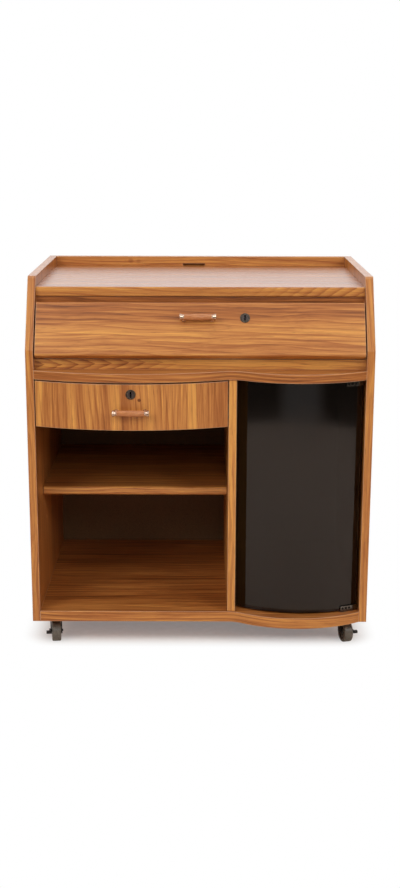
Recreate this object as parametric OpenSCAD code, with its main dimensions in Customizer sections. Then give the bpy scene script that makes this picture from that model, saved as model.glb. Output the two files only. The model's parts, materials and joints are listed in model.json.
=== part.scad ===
// Wheeled television cabinet with a drop front, a bow-fronted drawer,
// open shelving and a curved glass door, all in millimetres.
// The row frame has +X to the right, -Y to the front and +Z up. Its origin is
// on the floor, at the centre of the whole outline. Inside the modules Y is
// counted from the side panels' front edge, and in_frame() moves it there.

/* [Carcass] */
// Outer width over the two side panels
cab_w = 780; // [720:1:880]
// Depth of the side panels from front edge to back edge
cab_d = 541.5; // [500:0.5:600]
// Height of the side panels' top edge above the floor
cab_h = 863; // [850:1:900]
// Thickness of the side panels and the divider
side_t = 18; // [16:0.5:20]
// Distance below the side panels' top at which their front edge starts to slope back
kink_drop = 156; // [150:1:162]
// Setback of the side panels' top front corner
top_setback = 84; // [75:1:95]
// Radius of the side panels' top front corner
corner_r = 8; // [2:1:12]
// Thickness of the hardboard back
back_t = 4; // [3:0.5:5]
// Width of the rabbet that takes the hardboard back
rabbet_w = 9; // [6:1:12]
// Thickness of the bottom board
bottom_t = 25; // [22:1:28]
// Rounding of the boards' front edges
edge_r = 3; // [1:0.5:4]

/* [Top] */
// Thickness of the top board
top_t = 22; // [20:1:24]
// Depth of the tray formed by the side panels above the top board
gallery_h = 23; // [15:1:30]
// Thickness of the rail along the tray's back
gallery_t = 18; // [15:1:20]
// Width of the cable notch in the gallery rail
notch_w = 56; // [40:1:80]
// Height of the cable notch in the gallery rail
notch_h = 5; // [4.5:0.5:8]
// Centre of the cable notch to the left of the middle
notch_x = -17; // [-60:1:60]
// Setback of the top board behind the sloping front face
top_inset = 4; // [2:0.5:6]
// Height of the rail below the top board
top_rail_h = 30.5; // [26:0.5:30.5]
// Setback of that rail behind the top board's front edge
top_rail_inset = 4; // [3:0.5:8]

/* [Waist and bays] */
// Distance of the waist board's top face below the side panels' top
waist_drop = 201; // [200:1:206]
// Thickness of the waist board
waist_t = 20; // [18:1:22]
// Inner width of the left bay
left_bay_w = 436.5; // [400:0.5:460]
// Forward swell of the left bow
left_bow = 42; // [30:1:50]
// Forward swell of the right bow
right_bow = 45; // [35:1:55]
// Radius of the hollow curve that joins two bows
valley_r = 60; // [45:1:80]
// Thickness of the sill rail
sill_t = 18; // [15:1:20]

/* [Shelf] */
// Height of the shelf's top face above the floor
shelf_z = 360; // [280:1:420]
// Thickness of the shelf
shelf_t = 20; // [16:1:22]
// Setback of the shelf's front edge
shelf_inset = 116; // [90:1:140]
// Gap between the shelf and the bay's walls
shelf_gap = 1; // [0.5:0.5:2]
// Diameter of the shelf pins
pin_d = 5; // [4:0.5:6]
// Radial clearance of the shelf pins in their holes
pin_clear = 0.05; // [0.02:0.01:0.1]
// Length of a shelf pin in the wall, and again under the shelf
pin_l = 9; // [7:0.5:11]
// Vertical pitch of the shelf pin holes
pin_pitch = 32; // [25:1:40]

/* [Flap] */
// Thickness of the drop front
flap_t = 20; // [18:0.5:20.5]
// Gap at each end of the drop front
flap_gap = 3; // [1:0.5:3.5]
// Length of the drop front along its slope
flap_l = 127.3; // [115:0.1:130]
// Rounding of the drop front's long edges
flap_r = 5; // [2:0.5:8]
// Distance from the hinge axis down to the drop front's lower edge
flap_tail = 2.5; // [2.1:0.1:3.5]
// Outer radius of the continuous hinge's knuckles
knuckle_r = 3; // [2.6:0.1:3.4]
// Radius of the continuous hinge's pin
hinge_pin_r = 1.5; // [1.2:0.1:1.8]
// Thickness of the hinge leaves
leaf_t = 1; // [0.8:0.1:1.2]
// Width of each hinge leaf
leaf_w = 14; // [10:1:17]
// Length of the continuous hinge
hinge_l = 700; // [600:10:720]
// Number of knuckles along the hinge
knuckles = 21; // [11:2:31]

/* [Pulls and locks] */
// Distance between the two feet of a pull
pull_centres = 64; // [60:1:68]
// Distance that a pull stands out
pull_reach = 23; // [20:0.5:23.5]
// Radius of a pull's wooden grip at its middle
grip_r = 6.2; // [5.5:0.1:7]
// Height of the drop front's pull above its hinge, along the slope
flap_pull_u = 83.6; // [74:0.2:88]
// Distance of the drop front's pull to the left of the middle
flap_pull_x = -5.5; // [-60:0.5:20]
// Height of the drop front's lock above its hinge, along the slope
flap_lock_u = 86.6; // [80:0.2:87]
// Distance of the drop front's lock to the right of the middle
flap_lock_x = 100; // [80:1:140]
// Distance of the drawer's lock below the drawer front's upper edge
drawer_lock_drop = 22.5; // [20.5:0.5:28.5]
// Height of the drawer's pull above the drawer front's lower edge
drawer_pull_up = 42.5; // [31:0.5:51]
// Radius of a lock's visible rim
lock_rim_r = 11.2; // [10.5:0.1:12]
// Travel of a lock's bolt, and radius of the crank that drives it
bolt_travel = 8; // [6:0.5:9]

/* [Drawer] */
// Height of the drawer front
drawer_h = 104.5; // [102.5:0.5:118.5]
// Gap between the drawer front and the bay's walls, and its setback
drawer_gap = 2; // [1.5:0.5:3]
// Gap above the drawer front, which lets the drawer be lifted off its rollers
drawer_lift = 3.5; // [3.5:0.5:6]
// Thickness of the bent drawer front
drawer_front_t = 16; // [14:0.5:18]
// Thickness of the drawer's box boards
box_t = 12; // [10:0.5:15]
// Height of the drawer's box
box_h = 74; // [60:1:76]
// Depth of the drawer's box
box_d = 400; // [340:1:430]
// Space for a runner on each side of the drawer
runner_gap = 12.7; // [12.5:0.1:13.5]
// Thickness of the drawer's bottom
drawer_bottom_t = 4; // [3:0.5:5]

/* [Glass door] */
// Thickness of the bent glass
glass_t = 5; // [4:0.5:6]
// Setback of the glass at the divider
glass_in_left = 30; // [26:0.5:32]
// Setback of the glass at the hinge side
glass_in_right = 17; // [15:0.5:20]
// Gap between the glass and the divider, and at the hinge side twice as much
glass_gap = 3; // [2:0.5:4]
// Forward swell of the glass
glass_bow = 40; // [34:0.5:42]
// Gap above and below the glass
glass_gap_z = 4; // [3:0.5:6]
// Height of a hinge clamp
clamp_h = 13; // [12:0.5:16]
// Length of a hinge clamp along the glass
clamp_l = 44; // [40:1:50]
// Thickness of a hinge clamp
clamp_t = 12; // [11:0.5:13]
// Radius of the pivot pins
pivot_r = 3; // [2.5:0.1:3.5]

/* [Casters] */
// Height of a caster from the floor to its mounting face
caster_h = 66; // [64:1:72]
// Radius of a caster's wheel
wheel_r = 25; // [22:0.5:26]
// Width of a caster's wheel
wheel_w = 21; // [18:0.5:24]
// Distance from a side panel's outer face to a caster's swivel axis
caster_in_x = 47; // [42:1:60]
// Distance from the front edge to a front caster's swivel axis
caster_in_front = 62; // [60:1:80]
// Distance from the back edge to a rear caster's swivel axis
caster_in_back = 62; // [50:1:80]
// Trail from the swivel axis to the wheel's axle
trail = 17; // [14:0.5:20]
// Angle to which the front left caster has swivelled
turn_left = 8; // [-30:1:30]
// Angle to which the front right caster has swivelled
turn_right = 15; // [-30:1:30]

/* [Hidden] */
$fn = 48;

// Colours of the real finishes
teak = "#b06a3c";
teak_dark = "#8a5230";
hardboard = "#7a6238";
zinc = "#b9b6ae";
bronze = "#4a4038";
steel = "#8d8f92";
rubber_black = "#262626";
tread_grey = "#7d7c70";
smoked = "#2e2826";

// Small overlap that makes a cut run clear of a face
cut = 1;
// Gap between two pieces of one body that rest on each other
seat = 0.05;
// Running gap between two pieces that slide or turn past each other
run = 0.3;
// Radial clearance of a turning pin in its bore
turn = 0.05;

// Heights
base_z = caster_h;
floor_z = base_z + bottom_t;
kink_z = cab_h - kink_drop;
waist_z = cab_h - waist_drop;
waist_under = waist_z - waist_t;
top_z = cab_h - gallery_h;
top_under = top_z - top_t;

// Widths
in_x = cab_w / 2 - side_t;
bay_x = -in_x + left_bay_w;
door_x = bay_x + side_t;
in_d = cab_d - back_t;

// Slope of the front above the kink, from the vertical
slope = atan(top_setback / (cab_h - kink_z));
function slope_y(z) = (z - kink_z) * tan(slope);

// Hinge axis of the drop front. When level, the flap lies just above the waist board,
// and its lower edge leans on the sill rail.
flap_face_w = knuckle_r + flap_t;
flap_rest_gap = 3.4;
hinge_z = waist_z + flap_rest_gap + flap_face_w;
hinge_y = slope_y(hinge_z) + flap_face_w / cos(slope);
sill_y = hinge_y + flap_tail + 0.5;
top_y = slope_y(top_z) + top_inset;
top_rail_y = top_y + top_rail_inset;
gallery_y = cab_d - gallery_t;

// Circles of the bows in plan: [centre x, centre y, radius]
function bow_circle(x0, x1, rise) =
    let (half = (x1 - x0) / 2, r = (half * half + rise * rise) / (2 * rise))
    [(x0 + x1) / 2, r - rise, r];
left_circle = bow_circle(-in_x, bay_x, left_bow);
right_circle = bow_circle(door_x, in_x, right_bow);

// Point in front of two circles that lies r outside both
function outside_two(a, b, r) =
    let (dx = b[0] - a[0], dy = b[1] - a[1], d = sqrt(dx * dx + dy * dy),
         ra = a[2] + r, rb = b[2] + r,
         along = (d * d + ra * ra - rb * rb) / (2 * d),
         off = sqrt(ra * ra - along * along))
    [a[0] + (along * dx + off * dy) / d, a[1] + (along * dy - off * dx) / d];
// Angle at which point q is seen from the centre c
function seen(c, q) = atan2(q[1] - c[1], q[0] - c[0]);
// Points inside an arc about c, from angle a0 to a1, and with its ends if ends is 0
function arc(c, r, a0, a1, n, ends) =
    [for (k = [ends:n - ends]) let (a = a0 + (a1 - a0) * k / n) [c[0] + r * cos(a), c[1] + r * sin(a)]];
// Bowed front over the glass door, seen from its left end to the right side panel
function right_front(p) =
    arc(right_circle, right_circle[2], seen(right_circle, p), seen(right_circle, [in_x, 0]), 28, 0);

// Drawer
drawer_x = (bay_x - in_x) / 2;
drawer_r = left_circle[2] - drawer_gap;
drawer_top = waist_under - drawer_lift;
drawer_z = drawer_top - drawer_h;
drawer_lock_z = drawer_top - drawer_lock_drop;
drawer_pull_z = drawer_z + drawer_pull_up;
drawer_face_y = left_circle[1] - drawer_r;
drawer_half = left_bay_w / 2 - drawer_gap;
box_half = left_bay_w / 2 - runner_gap;
drawer_in_r = drawer_r - drawer_front_t;
box_y = left_circle[1] - sqrt(drawer_in_r * drawer_in_r - box_half * box_half) + seat;
box_z = drawer_z + 11;
groove = 5;
drawer_bottom_z = box_z + 6;

// Runners in their gap, counted from the bay's wall
runner_sheet = 1.2;
runner_h = 30;
runner_z = box_z + 2;
roller_r = 10;
roller_pin_r = 2;
front_roller_y = 54;
rear_roller_in = 16;
rail_top = runner_z + runner_h;
roller_z = runner_z + runner_sheet + run + roller_r + 0.6;
skate_z = roller_z + roller_r + run;

// Glass door in plan
glass_x0 = door_x + glass_gap;
glass_x1 = in_x - 2 * glass_gap;
glass_y0 = glass_in_left;
glass_y1 = glass_in_right;
glass_chord = sqrt(pow(glass_x1 - glass_x0, 2) + pow(glass_y1 - glass_y0, 2));
glass_r = (glass_chord * glass_chord / 4 + glass_bow * glass_bow) / (2 * glass_bow);
glass_tilt = atan((glass_y1 - glass_y0) / (glass_x1 - glass_x0));
glass_half = asin(glass_chord / 2 / glass_r);
glass_cx = (glass_x0 + glass_x1) / 2 - (glass_r - glass_bow) * sin(glass_tilt);
glass_cy = (glass_y0 + glass_y1) / 2 + (glass_r - glass_bow) * cos(glass_tilt);
glass_z0 = floor_z + glass_gap_z;
glass_z1 = waist_under - glass_gap_z;
glass_mid_r = glass_r - glass_t / 2;
glass_end = -90 + glass_tilt + glass_half;
function arc_deg(mm) = mm / glass_mid_r * 180 / PI;
clamp_over = 2;
clamp_end = glass_end + arc_deg(clamp_over);
pivot_in = 13;
pivot_a = clamp_end - arc_deg(pivot_in);
pivot_x = glass_cx + glass_mid_r * cos(pivot_a);
pivot_y = glass_cy + glass_mid_r * sin(pivot_a);
clamp_air = 1;
bush_r = 5;
bush_depth = 9;
bush_flange_r = 7;
bush_flange_t = 0.6;

// Touch latch behind the glass, on a line square to it
latch_a = -90 + glass_tilt - glass_half + arc_deg(34);
latch_h = 14;
latch_w = 16;
latch_l = 52;
plunger_r = 4;
plunger_out = 7.5;
strike_t = 1.2;

// Casters
caster_y0 = caster_in_front;
caster_y1 = cab_d - caster_in_back;
caster_x = cab_w / 2 - caster_in_x;
plate_half = 21;
plate_t = 2.5;
fork_gap = 0.8;
fork_t = 2.4;
axle_r = 3;

// Row frame: the foremost point is the drawer's pull, the rearmost the screws' heads
screw_head_t = 1.4;
reach = max(pull_reach - drawer_face_y, left_bow, right_bow);
front_y = (reach - cab_d - screw_head_t) / 2;

module in_frame() {
    translate([0, front_y, 0]) children();
}

// Box between two corners
module block(a, b) {
    translate(a) cube([b[0] - a[0], b[1] - a[1], b[2] - a[2]]);
}

// Extrudes an outline in the Y-Z plane from x0 to x1
module across(x0, x1) {
    translate([x0, 0, 0]) rotate([90, 0, 90]) linear_extrude(x1 - x0) children();
}

// Section of a board with both front edges rounded
module soft_section(y0, y1, z0, z1, r) {
    translate([y0 + r, z0]) square([y1 - y0 - r, z1 - z0]);
    translate([y0, z0 + r]) square([r + cut, z1 - z0 - 2 * r]);
    for (z = [z0 + r, z1 - r]) translate([y0 + r, z]) circle(r, $fn = 32);
}

// Fasteners that join the boards to the side panels
cam_r = 7.5;
cam_depth = 13;
cam_in = 24;
bolt_r = 3.5;
stud_r = 2.5;
stud_l = 11;
cam_row = 120;
cam_rows = [cam_row, cab_d - cam_row];
// Undersides of the joined boards, with their thicknesses
cam_boards = [[base_z, bottom_t], [waist_under, waist_t], [top_under, top_t]];
// First fastener of the top board sits further back than the others
top_cam_row = 45;
function cam_y(board, row) = row == 0 && board == 2 ? top_y + top_cam_row : cam_rows[row];

// Bores for the fasteners in one board
module cam_bores(board) {
    z = cam_boards[board][0];
    t = cam_boards[board][1];
    for (side = [-1, 1], row = [0, 1]) translate([side * in_x, cam_y(board, row), z]) {
        translate([-side * cam_in, 0, -cut]) cylinder(h = cam_depth + cut, r = cam_r + turn);
        translate([side * cut, 0, t / 2]) rotate([0, -side * 90, 0])
            cylinder(h = cam_in + cut, r = bolt_r + turn, $fn = 32);
    }
}

// Stud holes in the side panel on one side
module stud_holes(side) {
    for (board = [0, 1, 2], row = [0, 1]) {
        z = cam_boards[board][0] + cam_boards[board][1] / 2;
        translate([side * in_x, cam_y(board, row), z]) rotate([0, side * 90, 0])
            cylinder(h = stud_l + turn, r = stud_r + turn, $fn = 32);
    }
}

// Shelf pin holes in the wall at x, drilled away from the bay
shelf_pin_front = 45;
shelf_pin_back = 60;
shelf_rows = [shelf_inset + shelf_pin_front, in_d - shelf_pin_back];
pin_z = shelf_z - shelf_t - pin_d / 2 - seat;
module pin_holes(x, side) {
    for (y = shelf_rows, k = [-2:2]) translate([x, y, pin_z + k * pin_pitch])
        rotate([0, side * 90, 0]) cylinder(h = pin_l + cut, r = pin_d / 2 + pin_clear, $fn = 32);
}

// Places of the screws round the hardboard back: [x, z]
back_low = base_z + bottom_t / 2;
back_high = top_under - 10;
back_mid = waist_z - waist_t / 2;
back_screws_at = concat(
    [for (x = [-in_x * 0.6, 0, in_x * 0.6], z = [back_low, back_mid]) [x, z]],
    [for (s = [-1, 1], k = [0:3]) [s * (in_x + rabbet_w / 2), back_low + k * (back_high - back_low) / 3]]);
screw_r = 1.5;
screw_l = 14;
screw_head_r = 3.5;
module back_screw_holes() {
    for (p = back_screws_at) translate([p[0], cab_d + cut, p[1]]) rotate([90, 0, 0])
        cylinder(h = screw_l + back_t + cut, r = screw_r + turn, $fn = 24);
}

// One side panel, with its outer face at side * cab_w / 2
module side_panel(side) {
    tl = corner_r * tan((90 - slope) / 2);
    x0 = side < 0 ? -cab_w / 2 : in_x;
    difference() {
        across(x0, x0 + side_t) {
            polygon([[0, base_z], [0, kink_z],
                [top_setback - tl * sin(slope), cab_h - tl * cos(slope)],
                [top_setback + tl, cab_h], [cab_d, cab_h], [cab_d, base_z]]);
            translate([top_setback + tl, cab_h - corner_r]) circle(corner_r);
        }
        block([side < 0 ? -in_x - rabbet_w : in_x - cut, in_d - seat, base_z - cut],
              [side < 0 ? -in_x + cut : in_x + rabbet_w, cab_d + cut, top_under]);
        stud_holes(side);
        back_screw_holes();
        if (side < 0) pin_holes(-in_x, -1);
    }
}

module side_panel_left() {
    color(teak) in_frame() side_panel(-1);
}

module side_panel_right() {
    color(teak) in_frame() side_panel(1);
}

module top_board() {
    color(teak) in_frame() difference() {
        across(-in_x, in_x) soft_section(top_y, gallery_y - seat, top_under, top_z, edge_r);
        cam_bores(2);
    }
}

// The rail's notch opens into a duct that leads down into the cabinet
module gallery_rail() {
    color(teak) in_frame() difference() {
        block([-in_x, gallery_y, top_under], [in_x, cab_d, cab_h]);
        block([notch_x - notch_w / 2, gallery_y - cut, top_under - cut],
              [notch_x + notch_w / 2, in_d, top_z + notch_h]);
    }
}

module top_rail() {
    color(teak) in_frame() difference() {
        block([-in_x, top_rail_y, top_under - top_rail_h], [in_x, top_rail_y + side_t, top_under]);
        on_flap_lock() lock_mortise(flap_lock_up, flap_t);
        for (side = [-1, 1]) translate([side * bumper_x, top_rail_y - cut, bumper_z]) rotate([-90, 0, 0])
            cylinder(h = bumper_in + cut, r = bumper_r + turn, $fn = 32);
    }
}

module sill_rail() {
    color(teak) in_frame()
        block([-in_x, sill_y, waist_z], [in_x, sill_y + sill_t, hinge_z - knuckle_r - seat]);
}

module waist_board() {
    p = outside_two(left_circle, right_circle, valley_r);
    color(teak) in_frame() difference() {
        translate([0, 0, waist_under]) linear_extrude(waist_t) polygon(concat(
            arc(left_circle, left_circle[2], seen(left_circle, [-in_x, 0]), seen(left_circle, p), 32, 0),
            arc(p, valley_r, seen(p, left_circle), seen(p, right_circle), 12, 1),
            right_front(p), [[in_x, in_d], [-in_x, in_d]]));
        cam_bores(1);
        on_drawer() lock_mortise(drawer_lock_up, drawer_lock_t);
        translate([pivot_x, pivot_y, waist_under - cut]) cylinder(h = bush_depth + cut, r = bush_r + seat);
        back_screw_holes();
    }
}

module divider() {
    color(teak) in_frame() difference() {
        across(bay_x, door_x) soft_section(0, in_d, floor_z, waist_under, edge_r);
        pin_holes(bay_x, 1);
    }
}

module bottom_board() {
    // Centre and foot of the hollow curve between the straight front and the bow
    span = right_circle[2] + valley_r;
    p = [right_circle[0] - sqrt(span * span - pow(right_circle[1] + valley_r, 2)), -valley_r];
    color(teak) in_frame() difference() {
        translate([0, 0, base_z]) linear_extrude(bottom_t) polygon(concat([[-in_x, 0], [p[0], 0]],
            arc(p, valley_r, 90, seen(p, right_circle), 8, 1),
            right_front(p), [[in_x, in_d], [-in_x, in_d]]));
        cam_bores(0);
        translate([pivot_x, pivot_y, floor_z - bush_depth]) cylinder(h = bush_depth + cut, r = bush_r + seat);
        back_screw_holes();
        caster_screw_holes();
    }
}

module back_panel() {
    w = in_x + rabbet_w - seat;
    color(hardboard) in_frame() difference() {
        block([-w, in_d, base_z], [w, cab_d, top_under - seat]);
        back_screw_holes();
    }
}

module cam_fasteners() {
    color(zinc) in_frame() for (board = [0, 1, 2], side = [-1, 1], row = [0, 1]) {
        z = cam_boards[board][0];
        t = cam_boards[board][1];
        translate([side * in_x, cam_y(board, row), z]) {
            translate([-side * cam_in, 0, 0.5]) difference() {
                cylinder(h = cam_depth - 0.5, r = cam_r);
                translate([-5, -0.75, -cut]) cube([10, 1.5, cut + 2]);
                translate([-0.75, -5, -cut]) cube([1.5, 10, cut + 2]);
            }
            translate([0, 0, t / 2]) rotate([0, -side * 90, 0]) {
                cylinder(h = cam_in - cam_r - run, r = bolt_r, $fn = 32);
                translate([0, 0, -stud_l]) cylinder(h = stud_l, r = stud_r, $fn = 32);
            }
        }
    }
}

module back_screws() {
    color(zinc) in_frame() for (p = back_screws_at) translate([p[0], cab_d, p[1]])
        rotate([90, 0, 0]) {
            translate([0, 0, -screw_head_t])
                cylinder(h = screw_head_t - seat, r1 = screw_head_r - 1, r2 = screw_head_r, $fn = 24);
            translate([0, 0, -0.5]) cylinder(h = screw_l + back_t, r = screw_r, $fn = 24);
        }
}

module shelf() {
    color(teak) in_frame() across(-in_x + shelf_gap, bay_x - shelf_gap)
        soft_section(shelf_inset, in_d - shelf_gap, shelf_z - shelf_t, shelf_z, 2 * edge_r);
}

module shelf_pins() {
    color(zinc) in_frame() for (y = shelf_rows, side = [-1, 1])
        translate([side < 0 ? -in_x : bay_x, y, pin_z]) rotate([0, -side * 90, 0])
            translate([0, 0, -pin_l]) cylinder(h = 2 * pin_l, r = pin_d / 2, $fn = 32);
}

// Face frames: x to the right, y up the face, z outwards, on the outer face
module on_flap_lock() {
    on_hinge() translate([flap_lock_x, flap_lock_u, flap_face_w]) children();
}

module on_flap_pull() {
    on_hinge() translate([flap_pull_x, flap_pull_u, flap_face_w]) children();
}

module on_drawer() {
    translate([drawer_x, drawer_face_y, drawer_lock_z]) rotate([90, 0, 0]) children();
}

module on_drawer_pull() {
    translate([drawer_x, drawer_face_y, drawer_pull_z]) rotate([90, 0, 0]) children();
}

// Hinge frame of the drop front: x along the hinge, y up the flap, z outwards
module on_hinge() {
    translate([0, hinge_y, hinge_z]) rotate([90 - slope, 0, 0]) children();
}

module flap_panel() {
    half = in_x - flap_gap;
    color(teak) in_frame() difference() {
        on_hinge() translate([-half, 0, 0]) rotate([90, 0, 90]) linear_extrude(2 * half) {
            u0 = -flap_tail;
            u1 = flap_l - flap_tail;
            translate([u0, knuckle_r + seat]) square([u1 - u0, flap_t - flap_r - seat]);
            translate([u0 + flap_r, knuckle_r + cut]) square([u1 - u0 - 2 * flap_r, flap_t - cut]);
            for (u = [u0 + flap_r, u1 - flap_r]) translate([u, flap_face_w - flap_r]) circle(flap_r);
        }
        on_flap_lock() lock_bore(flap_t);
        on_flap_pull() pull_holes(flap_t);
    }
}

// One half of the continuous hinge: every second knuckle, and its leaf in the
// plane y > 0. The leaf lies knuckle_r outwards of the axis.
module hinge_leaf(first, reach_u) {
    pitch = hinge_l / knuckles;
    difference() {
        union() {
            translate([-hinge_l / 2, 0, knuckle_r - leaf_t])
                cube([hinge_l, reach_u, leaf_t]);
            for (k = [first:2:knuckles - 1])
                translate([-hinge_l / 2 + k * pitch + 0.1, 0, 0]) rotate([0, 90, 0])
                    cylinder(h = pitch - 0.2, r = knuckle_r, $fn = 32);
        }
        translate([-hinge_l / 2 - cut, 0, 0]) rotate([0, 90, 0])
            cylinder(h = hinge_l + 2 * cut, r = hinge_pin_r + turn, $fn = 32);
        for (k = [1 - first:2:knuckles - 1])
            translate([-hinge_l / 2 + k * pitch - 0.1, -knuckle_r - cut, -knuckle_r - cut])
                cube([pitch + 0.2, 2 * knuckle_r + cut + 0.4, 2 * knuckle_r + 2 * cut]);
    }
}

module flap_hinge_leaf() {
    color(zinc) in_frame() on_hinge() hinge_leaf(0, leaf_w);
}

module sill_hinge_leaf() {
    color(zinc) in_frame() translate([0, hinge_y, hinge_z]) mirror([0, 0, 1]) hinge_leaf(1, leaf_w);
}

module flap_hinge_pin() {
    color(steel) in_frame() translate([-hinge_l / 2, hinge_y, hinge_z]) rotate([0, 90, 0])
        cylinder(h = hinge_l, r = hinge_pin_r, $fn = 32);
}

// Domed rubber buffers in the top rail, just behind the closed flap
bumper_r = 5;
bumper_in = 8;
bumper_side = 60;
bumper_x = in_x - bumper_side;
bumper_z = top_under - top_rail_h + 9;
bumper_y = slope_y(bumper_z) + (flap_t + bumper_r + run) / cos(slope);
module flap_bumpers() {
    color(rubber_black) in_frame() for (side = [-1, 1])
        translate([side * bumper_x, bumper_y, bumper_z]) rotate([-90, 0, 0]) rotate_extrude() {
            square([bumper_r, top_rail_y + bumper_in - bumper_y - seat]);
            intersection() {
                circle(bumper_r);
                translate([0, -bumper_r]) square([bumper_r, bumper_r + seat]);
            }
        }
}

// Pull: two flared metal ends on one rod, which carries a wooden grip
post_r = 4;
rod_r = 2;
cap_in = 24;
cap_out = 9;
bar_z = pull_reach - 8;
module pull_frame(foot) {
    difference() {
        union() {
            for (side = [-1, 1]) {
                translate([side * pull_centres / 2, 0, -foot]) {
                    cylinder(h = bar_z + foot, r = post_r);
                    cylinder(h = foot + 1.5, r = post_r + 2.5);
                    translate([0, 0, foot + 1.5]) cylinder(h = 5, r1 = post_r + 2.5, r2 = post_r);
                }
                translate([0, 0, bar_z]) rotate([0, side * 90, 0]) rotate_extrude() polygon([
                    [0, cap_in], [grip_r - 0.4, cap_in], [grip_r - 0.2, cap_in + 2],
                    [grip_r - 1, pull_centres / 2 - 3], [grip_r - 1, pull_centres / 2 + 1],
                    [grip_r + 0.6, pull_centres / 2 + 5], [8, pull_centres / 2 + cap_out - 1],
                    [7, pull_centres / 2 + cap_out], [0, pull_centres / 2 + cap_out + 0.6]]);
            }
            translate([-cap_in - cut, 0, bar_z]) rotate([0, 90, 0])
                cylinder(h = 2 * (cap_in + cut), r = rod_r, $fn = 32);
        }
        for (side = [-1, 1]) translate([side * pull_centres / 2, 0, -foot - cut])
            cylinder(h = 10 + foot + cut, r = pull_screw_r + turn, $fn = 32);
    }
}

// Barrel-shaped grip on the rod
module pull_grip() {
    n = 8;
    half = cap_in - 0.1;
    swell = grip_r - 0.4;
    translate([0, 0, bar_z]) rotate([0, 90, 0]) difference() {
        rotate_extrude() polygon(concat([[0, -half]],
            [for (k = [-n:n]) [swell + 0.9 * cos(90 * k / n), half * k / n]], [[0, half]]));
        translate([0, 0, -half - cut]) cylinder(h = 2 * (half + cut), r = rod_r + turn, $fn = 32);
    }
}

pull_screw_r = 2;
module pull_holes(t) {
    for (side = [-1, 1]) translate([side * pull_centres / 2, 0, -t - cut])
        cylinder(h = t + 2 * cut, r = pull_screw_r + 0.25, $fn = 32);
}

module pull_screws(t) {
    for (side = [-1, 1]) translate([side * pull_centres / 2, 0, 0]) {
        translate([0, 0, -t - 2.4]) difference() {
            cylinder(h = 2.4 - seat, r = 4);
            translate([-3, -0.5, -cut]) cube([6, 1, cut + 1]);
            translate([-0.5, -3, -cut]) cube([1, 6, cut + 1]);
        }
        translate([0, 0, -t - 1]) cylinder(h = t + 9, r = pull_screw_r, $fn = 32);
    }
}

module flap_pull_frame() {
    color(zinc) in_frame() on_flap_pull() translate([0, 0, seat]) pull_frame(0);
}

module flap_pull_grip() {
    color(teak_dark) in_frame() on_flap_pull() translate([0, 0, seat]) pull_grip();
}

module flap_pull_screws() {
    color(zinc) in_frame() on_flap_pull() pull_screws(flap_t);
}

// Lock with a sliding bolt. Face frame at the key's axis, panel of thickness t
// behind z = 0, and up the height of the case above the axis.
barrel_r = 9.5;
plug_r = 6.5;
case_w = 40;
case_down = 20;
lock_wall = 2;
bolt_w = 26;
bolt_t = 6;
crank_pin_r = 1.4;
crank_t = 4;
// Length of the plug's stem, which brings the bolt far enough behind the rail's front
stem_l = 5;
// Depth of the bolt's front face behind the panel
bolt_in = lock_wall + stem_l + crank_t + 0.5;
case_d = bolt_in + bolt_t + lock_wall;
flap_lock_up = 29;
drawer_lock_up = drawer_lock_drop - 1;
// The flat case and screw heads stand clear of the drawer front's hollow back
drawer_lock_t = drawer_front_t + 0.5;
drawer_screw_t = drawer_front_t + 1.2;

module lock_bore(t) {
    translate([0, 0, -t - cut]) cylinder(h = t + 2 * cut, r = barrel_r + 0.2);
}

// Pocket for the thrown bolt
module lock_mortise(up, t) {
    translate([-bolt_w / 2 - 1, up, -t - bolt_in - bolt_t - 1])
        cube([bolt_w + 2, bolt_travel + 2, bolt_t + 2]);
}

module lock_case(t, up) {
    difference() {
        union() {
            translate([0, 0, -t - cut]) cylinder(h = t + cut, r = barrel_r);
            translate([0, 0, seat]) soft_rim();
            translate([0, 0, -seat]) cylinder(h = 2 * seat, r = barrel_r);
            translate([-case_w / 2, -case_down, -t - case_d])
                cube([case_w, case_down + up, case_d - seat]);
        }
        translate([0, 0, -t - lock_wall]) cylinder(h = t + lock_wall + 4 * cut, r = plug_r + turn);
        translate([0, 0, -t - bolt_in])
            cylinder(h = bolt_in - lock_wall, r = bolt_travel + crank_pin_r + 0.8);
        translate([-bolt_w / 2 - run, -12, -t - bolt_in - bolt_t - run])
            cube([bolt_w + 2 * run, up + 12 + cut, bolt_t + 2 * run]);
    }
}

// Rim of the lock on the panel's face
module soft_rim() {
    rotate_extrude() {
        square([lock_rim_r, 0.8]);
        square([lock_rim_r - 0.8, 1.6]);
        translate([lock_rim_r - 0.8, 0.8]) circle(0.8, $fn = 32);
    }
}

// Turning plug with a keyhole, and the crank that lifts the bolt
module lock_plug(t) {
    difference() {
        union() {
            translate([0, 0, -t - lock_wall + 0.3]) cylinder(h = t + lock_wall + 1, r = plug_r);
            translate([0, 0, -t - bolt_in + 0.4]) {
                cylinder(h = bolt_in - lock_wall + 0.5, r = plug_r - 1);
                cylinder(h = crank_t - 0.6, r = bolt_travel + crank_pin_r + 0.3);
            }
            translate([-bolt_travel, 0, -t - bolt_in - bolt_t + 1.5])
                cylinder(h = bolt_t, r = crank_pin_r, $fn = 24);
        }
        translate([0, 0, -8]) {
            cylinder(h = 12, r = 1.5, $fn = 24);
            translate([-0.8, -4.5, 0]) cube([1.6, 4.5, 12]);
        }
    }
}

// Sliding bolt with a window for the crank's pin
module lock_bolt(t, up) {
    difference() {
        translate([-bolt_w / 2, -8, -t - bolt_in - bolt_t]) cube([bolt_w, up + 8 - 0.2, bolt_t]);
        // The pin swings on an arc while the bolt rises evenly, which takes some play
        pin_play = 2 * crank_pin_r + 2 * run;
        translate([-bolt_travel - pin_play / 2, -pin_play / 2, -t - bolt_in - bolt_t + 1])
            cube([bolt_travel + pin_play, 0.22 * bolt_travel + pin_play, bolt_t]);
    }
}

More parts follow.
